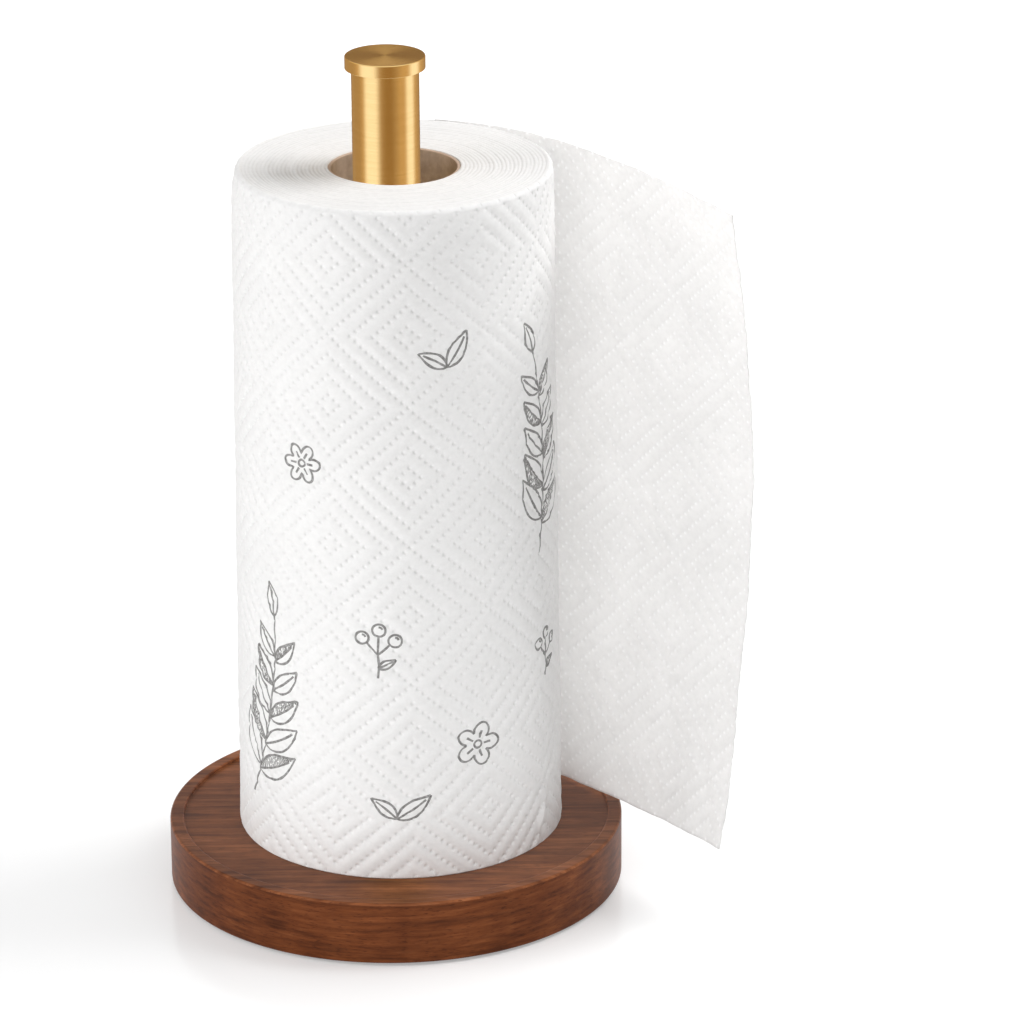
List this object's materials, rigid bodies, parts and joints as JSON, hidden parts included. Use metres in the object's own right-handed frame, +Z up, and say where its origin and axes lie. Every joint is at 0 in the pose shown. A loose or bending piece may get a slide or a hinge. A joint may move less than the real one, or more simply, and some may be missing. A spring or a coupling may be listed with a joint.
{
  "type": "paper towel roll on a counter stand",
  "caption": "Roll of embossed paper towel with its last sheet hanging loose, standing round the capped post of a turned wooden base.",
  "frame": {"origin": "centre of the base's underside, on the post's axis, in the plane that the stand rests on", "axes": "+Z up along the post, +X to the right towards the loose sheet, -Y to the front"},
  "size_m": [0.2163, 0.169, 0.318],
  "materials": {
    "walnut": "satin oiled walnut, fine dark grain",
    "pad": "matt soft foam",
    "brass": "satin brushed",
    "brass_cap": "satin, turned face",
    "steel": "zinc plated",
    "cardboard": "grey-brown board, matt",
    "paper": "white embossed tissue, matt"
  },
  "bodies": {
    "root": {"wooden_base": "walnut", "foot_pad": "pad", "post_tube": "brass", "post_plug": "steel", "post_cap": "brass_cap", "post_screw": "steel", "screw_washer": "steel", "core_tube": "cardboard", "paper_roll": "paper"}
  },
  "joints": []
}
